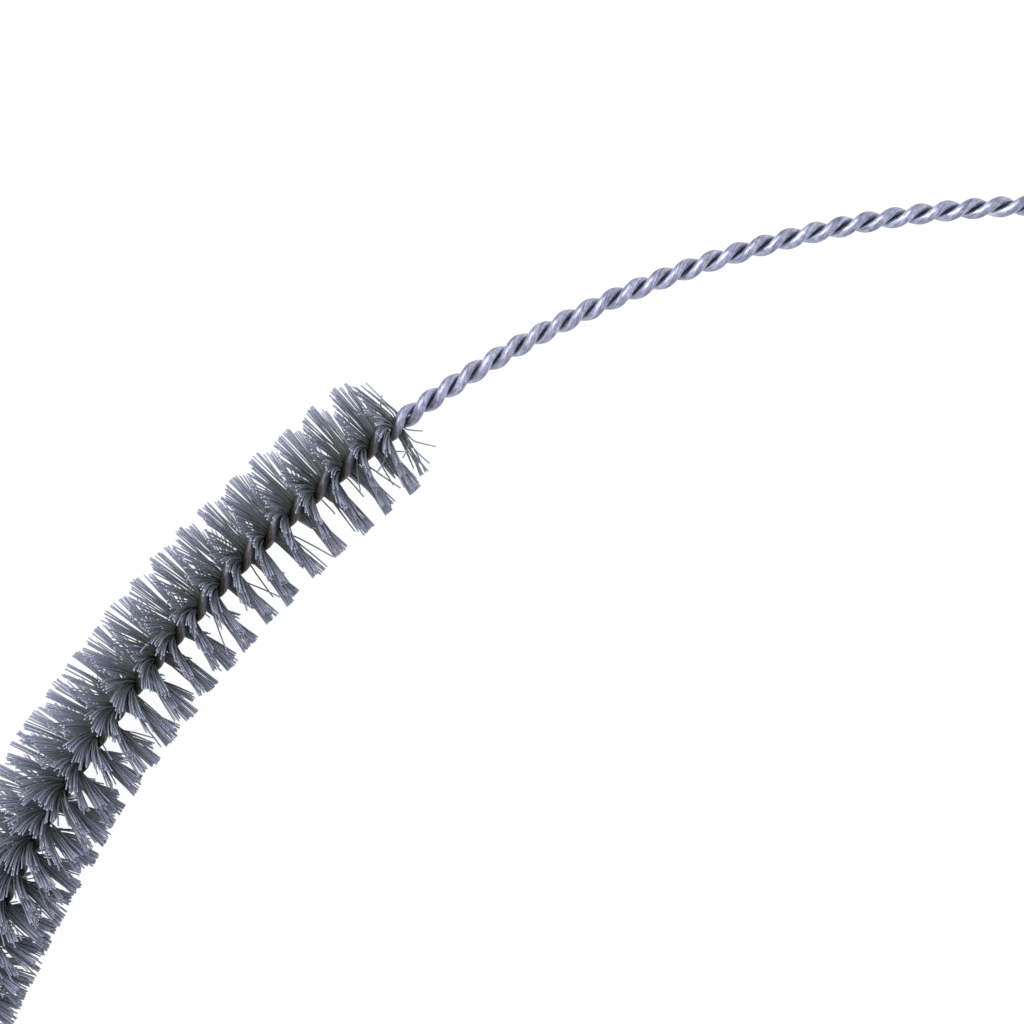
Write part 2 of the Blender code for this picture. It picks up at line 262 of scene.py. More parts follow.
zinc, tree, shader = new_material("galvanised_zinc", 0.38, 1.0)
place = add_node(tree, "ShaderNodeUVMap")
split = add_node(tree, "ShaderNodeSeparateXYZ", inputs={"Vector": place.outputs["UV"]})
from_groove = add_node(tree, "ShaderNodeMath", {"operation": "SUBTRACT"}, {
    0: split.outputs["Y"], 1: 0.5})
from_groove = add_node(tree, "ShaderNodeMath", {"operation": "ABSOLUTE"}, {
    0: from_groove.outputs[0]})
crystal_place = add_node(tree, "ShaderNodeTexCoord")
crystals = add_node(tree, "ShaderNodeTexNoise", inputs={
    "Vector": crystal_place.outputs["Object"], "Scale": CRYSTALS_PER_METRE, "Detail": 4.0,
    "Roughness": 0.6})
die_place = add_node(tree, "ShaderNodeMapping", inputs={
    "Vector": place.outputs["UV"], "Scale": DIE_LINE_STRETCH})
die_lines = add_node(tree, "ShaderNodeTexNoise", inputs={
    "Vector": die_place.outputs["Vector"], "Scale": DIE_LINE_SCALE, "Detail": 3.0})
in_head = add_node(tree, "ShaderNodeMapRange", inputs={
    "Value": split.outputs["X"], "From Min": SHADE_AND_SOIL_STARTS, "From Max": SHADE_AND_SOIL_FULL,
    "To Min": 0.0, "To Max": 1.0})
# Painted shade: the groove where the wires meet is coloured darker and browner; the crest is a little
# duller.
groove_shade_and_crest_tone = add_node(tree, "ShaderNodeValToRGB", inputs={"Fac": from_groove.outputs[0]}, stops=[
    (0.06, "#857f7b"), (0.13, "#a69f98"), (0.18, "#d2cdc6"), (0.23, "#ffffff"), (0.36, "#ffffff"),
    (0.48, "#d9d7dc")])
# Painted shade with brown soil: in the head the side of each wire that faces the other wire is
# coloured darker and browner.
shade_and_soil_tone = add_node(tree, "ShaderNodeValToRGB", inputs={"Fac": split.outputs["Y"]}, stops=[
    (0.00, "#aea8a6"), (0.16, "#948e8e"), (0.26, "#6a6356"), (0.50, "#453e33"), (0.76, "#6b5e46"),
    (0.87, "#a39472"), (0.95, "#aca299"), (1.00, "#aea8a6")])
zinc_tone = add_node(tree, "ShaderNodeValToRGB", inputs={"Fac": crystals.outputs["Fac"]}, stops=[
    (0.30, "#8b8fa7"), (0.50, "#a4a8c0"), (0.70, "#bec2d7")])
toned = add_node(tree, "ShaderNodeMix", {"data_type": "RGBA", "blend_type": "MULTIPLY"}, {
    "Factor": 1.0, "A": zinc_tone.outputs["Color"], "B": groove_shade_and_crest_tone.outputs["Color"]})
line_tone = add_node(tree, "ShaderNodeMapRange", inputs={
    "Value": die_lines.outputs["Fac"], "From Min": 0.32, "From Max": 0.68,
    "To Min": 0.55, "To Max": 1.42})
lined = add_node(tree, "ShaderNodeVectorMath", {"operation": "SCALE"}, {
    "Vector": toned.outputs["Result"], "Scale": line_tone.outputs["Result"]})
shaded_and_soiled = add_node(tree, "ShaderNodeMix", {"data_type": "RGBA", "blend_type": "MULTIPLY"}, {
    "Factor": in_head.outputs["Result"], "A": lined.outputs["Vector"],
    "B": shade_and_soil_tone.outputs["Color"]})
tree.links.new(shaded_and_soiled.outputs["Result"], shader.inputs["Base Color"])
bareness = add_node(tree, "ShaderNodeMapRange", inputs={
    "Value": in_head.outputs["Result"], "To Min": 1.0, "To Max": 0.6})
clean = add_node(tree, "ShaderNodeMapRange", inputs={
    "Value": from_groove.outputs[0], "From Min": 0.08, "From Max": 0.20,
    "To Min": 0.25, "To Max": 1.0})
metal = add_node(tree, "ShaderNodeMath", {"operation": "MULTIPLY"}, {
    0: bareness.outputs["Result"], 1: clean.outputs["Result"]})
tree.links.new(metal.outputs[0], shader.inputs["Metallic"])
rough = add_node(tree, "ShaderNodeMapRange", inputs={
    "Value": die_lines.outputs["Fac"], "From Min": 0.3, "From Max": 0.7,
    "To Min": 0.30, "To Max": 0.46})
tree.links.new(rough.outputs["Result"], shader.inputs["Roughness"])
bump = add_node(tree, "ShaderNodeBump", inputs={
    "Height": die_lines.outputs["Fac"], "Strength": 0.25, "Distance": DIE_LINE_DEPTH})
tree.links.new(bump.outputs["Normal"], shader.inputs["Normal"])


def lay_radius(distance):
    """Distance from the centre line to the centre of either wire."""
    return mix(HEAD_LAY_RADIUS, STEM_LAY_RADIUS, ease(distance / (TURN_CHANGE_LENGTH / 2)))


head_length = -distance_at(-HEAD_TURNS)
first_turn = turns_at(-head_length - TIP_WIRE_LENGTH)
last_turn = turns_at(HANDLE_FRONT + WIRE_END_IN_HANDLE)
wire_steps = ceil((last_turn - first_turn) * WIRE_POINTS_PER_TURN)
for wire_name, half_turn in (("wire_strand_a", 0.0), ("wire_strand_b", pi)):
    centres = []
    outwards = []
    distances = []
    for step in range(wire_steps + 1):
        turns = mix(first_turn, last_turn, step / wire_steps)
        distance = distance_at(turns)
        centre, along, left, up = axes_at(distance)
        angle = wire_angle(turns) + half_turn
        outward = cos(angle) * left + sin(angle) * up
        centres.append(centre + lay_radius(distance) * outward)
        outwards.append(outward)
        distances.append(distance)
    rings = []
    for step in range(wire_steps + 1):
        run = (centres[min(step + 1, wire_steps)] - centres[max(step - 1, 0)]).normalized()
        across = run.cross(outwards[step]).normalized()
        outward = across.cross(run)
        ring = []
        for side in range(WIRE_SIDES):
            turn = 2 * pi * side / WIRE_SIDES
            ring.append(centres[step] + WIRE_RADIUS * (cos(turn) * outward + sin(turn) * across))
        rings.append(ring)
    points, faces, uvs = tube(rings, distances)
    wire = mesh_piece("galvanised_" + wire_name, points, faces, uvs, zinc, sharp_angle=radians(60))
    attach(wire, "root")
    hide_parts(wire_name)


# The bristle head: some 3,700 straight nylon filaments of 0.36 mm, laid across between the
# wires and twisted in with them, so that both halves of each fan out in one helical sheet. The
# wires pinch them tight; further out they cling together in clumps, sheared to one diameter.
FILAMENT_RADIUS = 0.00018
FILAMENT_SIDES = 5
FILAMENT_STATIONS = (0.03, 0.20, 0.42, 0.70, 1.0)
CUT_END_FROM = 0.97
BRISTLE_REACH = 0.0160
SHEET_HALF_AT_WIRES = 0.00075
SHEET_THINNED_BY_TIP = 0.8
SPLAY_CURVE = 0.9
LEAN_CURVE = 1.5

# From the fifth turn to the eighth the filaments get more crowded and lean more to the tip.
FILAMENTS_PER_TURN = 180
CROWDED_FROM_TURN = 5.0
CROWDED_BY_TURN = 8.0
CROWDED_AT_TIP = 1.35
LEAN_AT_STEM = 0.0004
LEAN_AT_TIP = 0.0014

# Clumps: stretches of the sheet that cling together. On the inside of the arch they are larger,
# several filaments side by side and gathered to their middles. Toward the tip they stand
# further off the sheet, to one side or the other, and are gathered less.
SHORTEST_CLUMP_TURN = 0.022
LONGEST_CLUMP_TURN = 0.050
LARGER_INSIDE = 1.8
COLUMNS_IN_CLUMP = 5
SIDE_BY_SIDE = 0.00034
SPLAY_GROWN_BY_TURN = 9
SPLAY_AT_STEM = 0.0013
SPLAY_AT_TIP = 0.0027
UPRIGHT_SPREAD_AT_STEM = 0.4
UPRIGHT_SPREAD_AT_TIP = 0.9
OUTSIDE_SPREAD = 0.75
GATHERED_AT_STEM = 0.78
GATHERED_AT_TIP = 0.38
GOLDEN_SHARE = 0.618

# What differs by chance from clump to clump and from filament to filament.
UNEVEN_CLUMPS = 0.0009
UNEVEN_GATHER = 0.12
UNEVEN_TURN = 0.006
CLUMP_TONES = (0.3, 0.7)
PLACES_IN_SHARE = (0.1, 0.9)
UNEVEN_FILAMENTS = 0.00010
OWN_SPLAY_OUTSIDE = 0.0004
OWN_SPLAY_INSIDE_AT_STEM = 0.00008
OWN_SPLAY_INSIDE_AT_TIP = 0.0008
LARGEST_DEVIATION = 1.8
STRAY_SHARE = 0.022
STRAY_SPLAY = 0.0022
STRAY_SHORTER = 0.003
# Painted shade: filaments on the inside of the arch, where they crowd, are coloured darker by this
# much.
PAINTED_SHADE_INSIDE = 0.3
UNEVEN_TONE = 0.05

# At the open end nothing backs the first filaments, so they are shorter there and lean over,
# and on the inside of the arch most have slipped out of the wires.
OPEN_END_TURN = 0.15
SHORTER_AT_OPEN_END = 0.0012
OPEN_END_LEAN_OUTSIDE = 0.0012
OPEN_END_LEAN_INSIDE = 0.0036
LOST_AT_OPEN_END = 0.85
LOST_BY_TURN = 0.30

# In the photograph the filaments that point at the camera end 15 to 22 pixels further down the
# picture than they start. The camera here looks straight down, so the filaments themselves run
# out of square, by this share of their height, and are drawn a little to the arch's inside.
OUT_OF_SQUARE = 0.15
DRAWN_INSIDE_TURN = 0.032

# Grey nylon, drawn and cut: a satin round thread, paler and faintly blue toward the tips. Its colour
# is painted darker toward the roots, as shade where the filaments crowd together at the wires, and
# the cut ends are painted paler still, as highlight.
nylon, tree, shader = new_material("grey_nylon_filament", 0.52, 0.0)
place = add_node(tree, "ShaderNodeUVMap")
split = add_node(tree, "ShaderNodeSeparateXYZ", inputs={"Vector": place.outputs["UV"]})
# Painted shade at the roots and a painted highlight at the cut ends, along each filament.
along_shade_and_highlight = add_node(tree, "ShaderNodeValToRGB", inputs={"Fac": split.outputs["X"]}, stops=[
    (0.00, "#232a2a"), (0.12, "#5b6664"), (0.28, "#757f80"), (0.58, "#878e9a"), (0.94, "#b9bfd8"),
    (1.00, "#d1d9f0")])
tone_and_shade = add_node(tree, "ShaderNodeMapRange", inputs={
    "Value": split.outputs["Y"], "To Min": 0.62, "To Max": 1.12})
toned = add_node(tree, "ShaderNodeVectorMath", {"operation": "SCALE"}, {
    "Vector": along_shade_and_highlight.outputs["Color"], "Scale": tone_and_shade.outputs["Result"]})
tree.links.new(toned.outputs["Vector"], shader.inputs["Base Color"])
shader.inputs["IOR"].default_value = 1.53

chance = np.random.default_rng(7)


def sheet_point(turns, reach, side_angle, off_sheet, to_tip):
    """Point of the helical sheet at a reach from the centre line, moved off it and to the tip."""
    distance = distance_at(-turns)
    centre, along, left, up = axes_at(distance)
    angle = wire_angle(-turns) + side_angle
    outward = cos(angle) * left + sin(angle) * up
    around = -sin(angle) * left + cos(angle) * up
    rise = turn_length(distance) / (2 * pi)
    normal = (reach * along + rise * around).normalized()
    point = centre + reach * outward + off_sheet * normal - to_tip * along
    point.y -= OUT_OF_SQUARE * (point.z - centre.z)
    return point


def thread(path, tone_and_shade):
    """Round thread through a path of points: points, faces and UVs (along, tone and shade)."""
    rings = []
    helper = (path[-1] - path[0]).orthogonal().normalized()
    for index, point in enumerate(path):
        run = (path[min(index + 1, len(path) - 1)] - path[max(index - 1, 0)]).normalized()
        side = run.cross(helper).normalized()
        other = run.cross(side)
        ring = []
        for corner in range(FILAMENT_SIDES):
            turn = 2 * pi * corner / FILAMENT_SIDES
            ring.append(point + FILAMENT_RADIUS * (cos(turn) * side + sin(turn) * other))
        rings.append(ring)
    shares = [index / (len(path) - 1) * CUT_END_FROM for index in range(len(path))]
    points, faces, uvs = tube(rings, shares)
    uvs = [(along, tone_and_shade) for along, around in uvs[:-FILAMENT_SIDES]]
    # The cut end takes the last and palest stop of the ramp: a painted highlight.
    uvs += [(1.0, tone_and_shade)] * FILAMENT_SIDES
    return points, faces, uvs


def filament_path(root_turns, tip_turns, side_angle, reach, layer, splay, lean):
    """Course of one filament from between the wires to its cut end."""
    path = []
    for share in FILAMENT_STATIONS:
        turns = mix(root_turns, tip_turns, share)
        layer_here = layer * SHEET_HALF_AT_WIRES * (1 - SHEET_THINNED_BY_TIP * share)
        off_sheet = layer_here + splay * share ** SPLAY_CURVE
        to_tip = lean * share ** LEAN_CURVE
        point = sheet_point(turns, share * reach, side_angle, off_sheet, to_tip)
        point.z = max(point.z, FILAMENT_RADIUS)
        path.append(point)
    return path


def add_thread(part, path, tone_and_shade):
    """Add a filament's mesh to a part: lists of points, faces and UVs."""
    all_points, all_faces, all_uvs = part
    points, faces, uvs = thread(path, tone_and_shade)
    first = len(all_points)
    all_points.extend(points)
    all_faces.extend([first + corner for corner in face] for face in faces)
    all_uvs.extend(uvs)


turn_parts = [([], [], []) for number in range(HEAD_TURNS)]
clump_number = 0
for side_angle in (pi / 2, -pi / 2):
    clump_start = 0.0
    while clump_start < HEAD_TURNS:
        inside = 0.5 - 0.5 * cos(wire_angle(-clump_start) + side_angle)
        clump_turn = chance.uniform(SHORTEST_CLUMP_TURN, LONGEST_CLUMP_TURN)
        clump_turn *= mix(1.0, LARGER_INSIDE, inside)
        clump_turn = min(clump_turn, HEAD_TURNS - clump_start + 1e-6)
        middle = clump_start + clump_turn / 2
        crowding = (clump_start - CROWDED_FROM_TURN) / (CROWDED_BY_TURN - CROWDED_FROM_TURN)
        crowded = ease(crowding)
        count = FILAMENTS_PER_TURN * mix(1.0, CROWDED_AT_TIP, crowded) * clump_turn
        count = max(2, round(count))
        grown = min(clump_start / SPLAY_GROWN_BY_TURN, 1)
        gather = mix(GATHERED_AT_STEM, GATHERED_AT_TIP, grown)
        gather += chance.uniform(-UNEVEN_GATHER, UNEVEN_GATHER)
        clump_turned = chance.normal(0, UNEVEN_TURN)
        clump_number += 1
        clump_side = 2 * (clump_number * GOLDEN_SHARE % 1.0) - 1
        clump_splay = clump_side * mix(SPLAY_AT_STEM, SPLAY_AT_TIP, grown)
        clump_reach = BRISTLE_REACH - chance.uniform(0, UNEVEN_CLUMPS)
        clump_tone = chance.uniform(*CLUMP_TONES)
        for number_in_clump in range(count):
            share = (number_in_clump + chance.uniform(*PLACES_IN_SHARE)) / count
            root_turns = clump_start + share * clump_turn
            angle = wire_angle(-root_turns) + side_angle
            outwardness = cos(angle)
            clinging = 0.5 - 0.5 * outwardness
            tip_turns = mix(root_turns, middle, gather * clinging) + clump_turned * clinging
            tip_turns += DRAWN_INSIDE_TURN * sin(angle)
            own_splay = chance.normal(0, 1)
            own_splay = float(np.clip(own_splay, -LARGEST_DEVIATION, LARGEST_DEVIATION))
            own_inside = mix(OWN_SPLAY_INSIDE_AT_STEM, OWN_SPLAY_INSIDE_AT_TIP, grown)
            own_splay *= mix(OWN_SPLAY_OUTSIDE, own_inside, clinging)
            column = number_in_clump % COLUMNS_IN_CLUMP - (COLUMNS_IN_CLUMP - 1) / 2
            in_row = column * SIDE_BY_SIDE * clinging
            upright_spread = mix(UPRIGHT_SPREAD_AT_STEM, UPRIGHT_SPREAD_AT_TIP, grown)
            level_spread = mix(OUTSIDE_SPREAD, 1.0, clinging)
            spread = mix(upright_spread, level_spread, abs(outwardness))
            splay = clump_splay * spread + in_row + own_splay
            reach = clump_reach - abs(chance.normal(0, UNEVEN_FILAMENTS))
            if chance.uniform() < STRAY_SHARE:
                splay += chance.normal(0, STRAY_SPLAY)
                reach -= chance.uniform(0, STRAY_SHORTER)
            openness = exp(-root_turns / OPEN_END_TURN)
            reach -= SHORTER_AT_OPEN_END * openness
            open_lean = openness * mix(OPEN_END_LEAN_OUTSIDE, OPEN_END_LEAN_INSIDE, clinging)
            lean = mix(LEAN_AT_STEM, LEAN_AT_TIP, crowded) + open_lean
            layer = chance.uniform(-1, 1)
            path = filament_path(root_turns, tip_turns, side_angle, reach, layer, splay, lean)
            # Each filament's tone differs by chance, and painted shade is taken off it where it
            # crowds on the inside of the arch.
            tone_and_shade = clump_tone - PAINTED_SHADE_INSIDE * clinging + chance.normal(0, UNEVEN_TONE)
            tone_and_shade = float(np.clip(tone_and_shade, 0, 1))
            lost_here = LOST_AT_OPEN_END * clinging * exp(-(root_turns / LOST_BY_TURN) ** 4)
            if chance.uniform() < lost_here:
                continue
            add_thread(turn_parts[min(int(root_turns), HEAD_TURNS - 1)], path, tone_and_shade)
        clump_start += clump_turn

for number, part in enumerate(turn_parts):
    node_name = f"bristle_turn_{number + 1:02d}"
    tufts = mesh_piece("filaments_" + node_name, *part, nylon, sharp_angle=radians(80))
    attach(tufts, "root")
    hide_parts(node_name)


# Loose filaments at the open end of the head: the first ones have nothing behind them and only
# half a turn of wire over them, so a few have worked loose and stick out at odd angles. Each
# course is in mm from the first filament: to the right, up the picture, and above the middle.
LOOSE_COURSES = (
    ((1.2, -0.6, 0.5), (2.1, -1.4, 1.2), (4.1, -1.7, 1.6), (6.0, -1.8, 1.8)),
    ((0.6, -0.6, 0.4), (1.3, -1.4, 1.0), (2.9, -3.3, 1.8), (4.5, -4.4, 2.1), (9.1, -5.5, 2.2)),
    ((0.7, -0.8, 0.2), (1.5, -2.0, 0.6), (3.1, -4.7, 1.2), (4.4, -6.6, 1.2), (7.5, -9.4, 0.8)),
    ((0.7, -0.8, -0.2), (1.4, -2.2, 0.0), (2.6, -5.0, 0.1), (3.6, -6.9, -0.2), (7.1, -11.2, -1.0)),
    ((0.5, -0.9, -0.4), (1.2, -2.3, -0.6), (2.3, -5.0, -1.0), (3.4, -6.8, -1.5), (6.6, -10.9, -2.4)),
    ((1.1, -1.4, 0.9), (2.1, -2.5, 1.8), (2.7, -4.6, 2.6), (2.3, -6.3, 3.0), (1.3, -8.2, 3.2)),
    ((-2.9, -2.2, 0.4), (-2.9, -4.2, 1.5), (-1.8, -6.1, 2.4), (-0.1, -6.6, 2.8), (1.7, -6.7, 2.9)),
    ((-6.0, -4.8, -0.6), (-5.1, -7.4, -0.9), (-3.4, -10.6, -1.2), (-1.2, -14.4, -1.6)),
    ((-9.3, -7.4, 1.0), (-7.5, -9.5, 1.4), (-3.9, -12.1, 1.6), (0.7, -15.2, 1.5)),
    ((-3.8, -2.8, 0.4), (-3.2, -5.4, 2.0), (-2.8, -8.0, 3.3), (-3.4, -9.8, 4.0), (-4.5, -11.4, 4.3)),
    ((-0.4, 0.6, 0.4), (-1.2, 2.4, 0.9), (-4.2, 5.2, 1.4), (-8.6, 8.9, 1.8)),
    ((-0.1, 0.8, 0.7), (-0.6, 2.7, 1.4), (-3.1, 4.7, 2.2), (-6.9, 7.6, 2.8)),
    ((0.1, 0.7, 0.2), (-0.2, 2.6, 0.2), (-3.2, 5.3, 0.0), (-7.6, 9.7, -0.5)),
    ((-1.2, -0.9, 0.5), (-2.7, 1.4, 2.7), (-3.7, 3.6, 4.6), (-3.5, 5.0, 5.4), (-3.4, 6.3, 5.9)),
)
MILLIMETRE = 0.001
CURVE_STEPS = 3
LOOSE_TONES = (0.2, 0.6)

# Each one is a smooth curve through the points of its course.
first_filament = unplaced_point(0.0) + to_frame
loose_part = ([], [], [])
for course in LOOSE_COURSES:
    knots = [first_filament + MILLIMETRE * Vector(knot) for knot in course]
    ends = [2 * knots[0] - knots[1]] + knots + [2 * knots[-1] - knots[-2]]
    path = []
    for before, start, end, after in zip(ends, ends[1:], ends[2:], ends[3:]):
        for step in range(CURVE_STEPS):
            share = step / CURVE_STEPS
            path.append(0.5 * (2 * start + share * (end - before)
                        + share ** 2 * (2 * before - 5 * start + 4 * end - after)
                        + share ** 3 * (3 * start - before - 3 * end + after)))
    path.append(knots[-1])
    add_thread(loose_part, path, chance.uniform(*LOOSE_TONES))
loose = mesh_piece("filaments_worked_loose", *loose_part, nylon, sharp_angle=radians(80))
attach(loose, "root")


# The handle: beech, turned on a lathe, bored for the wires, sanded and clear lacquered. A
# spigot at its front takes the ferrule, and a hanging hole is drilled through near the butt.
# Its swells are given as places along the handle, from its front, and radii.
HANDLE_SIDES = 56
SPIGOT_LENGTH = 0.0153
SPIGOT_RADIUS = 0.0066
SPIGOT_CHAMFER = 0.0005
SOCKET_RADIUS = 0.00303
SOCKET_DEPTH = 0.050
SOCKET_CHAMFER = 0.0008
BUTT_RADIUS = 0.0060
KNOB_RADIUS = 0.0120
BUTT_CURVE = 0.018
HANDLE_SWELLS = ((SPIGOT_LENGTH, 0.00824), (0.050, 0.0125), (0.086, 0.0098), (0.107, KNOB_RADIUS))
SWELL_STEPS = 7
HANGING_HOLE_RADIUS = 0.0040
HANGING_HOLE_FROM_BUTT = 0.014
HOLE_SIDES = 40
COUNTERSINK_START = 0.0098
COUNTERSINK_DEPTH = 0.0030
COUNTERSINK_WIDENING = 0.0014
COUNTERSINK_STEPS = 5
HANDLE_SHARP_ANGLE = radians(35)

# Lacquered beech: pale pinkish tan with soft growth rings about 2 mm apart and short brown ray
# flecks, 0.7 by 4 mm; the thin clear lacquer gives a satin gloss. The fibres along the stick
# are too fine to show, so they are drawn 0.4 mm wide.
RING_WAVES = 140.0
FIBRES_PER_METRE = 2600.0
FIBRE_STRETCH = (1.0, 1.0, 0.035)
FIBRE_DEPTH = 0.00005
FLECKS_PER_METRE = 1500.0
FLECK_STRETCH = (1.0, 1.0, 0.16)
STICK_FROM_PITH = (0.004, 0.031, 0.0)
STICK_TURNED_IN_LOG = (0.035, 0.02, 0.6)

beech, tree, shader = new_material("lacquered_beech", 0.42, 0.0)
shader.inputs["Coat Weight"].default_value = 0.35
shader.inputs["Coat Roughness"].default_value = 0.22
handle_front, handle_axis = axes_at(HANDLE_FRONT)[:2]
handle_turn = handle_axis.to_track_quat("Z", "Y")
place = add_node(tree, "ShaderNodeTexCoord")
in_handle = add_node(tree, "ShaderNodeMapping", {"vector_type": "TEXTURE"}, {
    "Vector": place.outputs["Object"], "Location": handle_front, "Rotation": handle_turn.to_euler()})
ring_place = add_node(tree, "ShaderNodeMapping", inputs={
    "Vector": in_handle.outputs["Vector"], "Location": STICK_FROM_PITH,
    "Rotation": STICK_TURNED_IN_LOG, "Scale": (1.0, 1.0, 0.25)})
growth_rings = add_node(tree, "ShaderNodeTexWave", {
    "wave_type": "RINGS", "rings_direction": "Z"}, {
    "Vector": ring_place.outputs["Vector"], "Scale": RING_WAVES, "Distortion": 2.5, "Detail": 2.0,
    "Detail Scale": 0.6})
fibre_place = add_node(tree, "ShaderNodeMapping", inputs={
    "Vector": in_handle.outputs["Vector"], "Scale": FIBRE_STRETCH})
fibres = add_node(tree, "ShaderNodeTexNoise", inputs={
    "Vector": fibre_place.outputs["Vector"], "Scale": FIBRES_PER_METRE, "Detail": 3.0,
    "Roughness": 0.6})
fleck_place = add_node(tree, "ShaderNodeMapping", inputs={
    "Vector": in_handle.outputs["Vector"], "Scale": FLECK_STRETCH})
flecks = add_node(tree, "ShaderNodeTexNoise", inputs={
    "Vector": fleck_place.outputs["Vector"], "Scale": FLECKS_PER_METRE, "Detail": 1.0,
    "Roughness": 0.4})
ring_tone = add_node(tree, "ShaderNodeValToRGB", inputs={"Fac": growth_rings.outputs["Fac"]}, stops=[
    (0.0, "#dab68b"), (0.6, "#d3ac7f"), (1.0, "#c69b6e")])
fibre_tone = add_node(tree, "ShaderNodeValToRGB", inputs={"Fac": fibres.outputs["Fac"]}, stops=[
    (0.30, "#d9cfc4"), (0.52, "#ffffff"), (0.72, "#efe6da")])
fleck_tone = add_node(tree, "ShaderNodeValToRGB", inputs={"Fac": flecks.outputs["Fac"]}, stops=[
    (0.62, "#ffffff"), (0.68, "#b98a63")])
toned = add_node(tree, "ShaderNodeMix", {"data_type": "RGBA", "blend_type": "MULTIPLY"}, {
    "Factor": 1.0, "A": ring_tone.outputs["Color"], "B": fibre_tone.outputs["Color"]})
flecked = add_node(tree, "ShaderNodeMix", {"data_type": "RGBA", "blend_type": "MULTIPLY"}, {
    "Factor": 0.8, "A": toned.outputs["Result"], "B": fleck_tone.outputs["Color"]})
tree.links.new(flecked.outputs["Result"], shader.inputs["Base Color"])
bump = add_node(tree, "ShaderNodeBump", inputs={
    "Height": fibres.outputs["Fac"], "Strength": 0.12, "Distance": FIBRE_DEPTH})
tree.links.new(bump.outputs["Normal"], shader.inputs["Normal"])


def select_only(piece):
    bpy.ops.object.select_all(action="DESELECT")
    piece.select_set(True)
    bpy.context.view_layer.objects.active = piece


def turned_shape(name, sides, profile, closed_ring):
    """Ring extruded along +Z from station to station, as on a lathe, then its ends closed."""
    bpy.ops.object.select_all(action="DESELECT")
    station, radius = profile[0]
    bpy.ops.mesh.primitive_circle_add(vertices=sides, radius=radius, location=(0, 0, station))
    made = bpy.context.active_object
    made.name = name
    made.data.name = name
    bpy.ops.object.transform_apply(location=True, rotation=True, scale=True)
    bpy.ops.object.mode_set(mode="EDIT")
    bpy.ops.mesh.select_all(action="SELECT")
    for (before, last_radius), (station, radius) in zip(profile, profile[1:]):
        step = (0, 0, station - before)
        bpy.ops.mesh.extrude_edges_move(TRANSFORM_OT_translate={"value": step})
        wider = radius / last_radius
        bpy.ops.transform.resize(value=(wider, wider, 1), center_override=(0, 0, station))
    bpy.ops.mesh.select_all(action="SELECT")
    if closed_ring:
        bpy.ops.mesh.remove_doubles(threshold=0.000001)
    else:
        bpy.ops.mesh.fill_holes(sides=0)
    bpy.ops.mesh.normals_make_consistent(inside=False)
    bpy.ops.object.mode_set(mode="OBJECT")
    return made


def lay_along_handle(piece, material, sharp_angle):
    """Turn the piece to the handle's line, put its place in its mesh, and smooth it."""
    select_only(piece)
    piece.rotation_mode = "QUATERNION"
    piece.rotation_quaternion = handle_turn
    piece.location = handle_front
    bpy.ops.object.transform_apply(location=True, rotation=True, scale=True)
    bpy.ops.object.shade_smooth_by_angle(angle=sharp_angle)
    piece.data.materials.clear()
    piece.data.materials.append(material)
    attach(piece, "root")


# From the bottom of the socket, out round the spigot and over the swells to the butt.
handle_profile = [
    (SOCKET_DEPTH, SOCKET_RADIUS),
    (SOCKET_CHAMFER, SOCKET_RADIUS),
    (0.0, SOCKET_RADIUS + SOCKET_CHAMFER),
    (0.0, SPIGOT_RADIUS - SPIGOT_CHAMFER),
    (SPIGOT_CHAMFER, SPIGOT_RADIUS),
    (SPIGOT_LENGTH, SPIGOT_RADIUS),
    (SPIGOT_LENGTH, HANDLE_SWELLS[0][1] - SPIGOT_CHAMFER),
]
for (start, start_radius), (end, end_radius) in zip(HANDLE_SWELLS, HANDLE_SWELLS[1:]):
    for step in range(SWELL_STEPS):
        share = step / SWELL_STEPS
        handle_profile.append((mix(start, end, share), mix(start_radius, end_radius, ease(share))))
for step in range(SWELL_STEPS + 1):
    turn = pi / 2 * step / SWELL_STEPS
    handle_profile.append((
        HANDLE_LENGTH - BUTT_CURVE * (1 - sin(turn)),
        BUTT_RADIUS + (KNOB_RADIUS - BUTT_RADIUS) * cos(turn)))
handle = turned_shape("turned_beech_handle", HANDLE_SIDES, handle_profile, closed_ring=False)
lay_along_handle(handle, beech, HANDLE_SHARP_ANGLE)
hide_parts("handle")

# The drill that cuts the hanging hole, with a countersink at each end.
drill_profile = [(0.0, HANGING_HOLE_RADIUS)]
for step in range(COUNTERSINK_STEPS):
    share = step / (COUNTERSINK_STEPS - 1)
    height = COUNTERSINK_START + COUNTERSINK_DEPTH * share
    radius = HANGING_HOLE_RADIUS + COUNTERSINK_WIDENING * share ** 2
    drill_profile = [(-height, radius)] + drill_profile + [(height, radius)]
drill = turned_shape("drill", HOLE_SIDES, drill_profile, closed_ring=False)
drill.location = handle_front + (HANDLE_LENGTH - HANGING_HOLE_FROM_BUTT) * handle_axis
select_only(handle)
cut = handle.modifiers.new("hanging_hole", "BOOLEAN")
cut.operation = "DIFFERENCE"
cut.object = drill
bpy.ops.object.modifier_apply(modifier=cut.name)
bpy.ops.object.shade_smooth_by_angle(angle=HANDLE_SHARP_ANGLE)
bpy.data.objects.remove(drill)


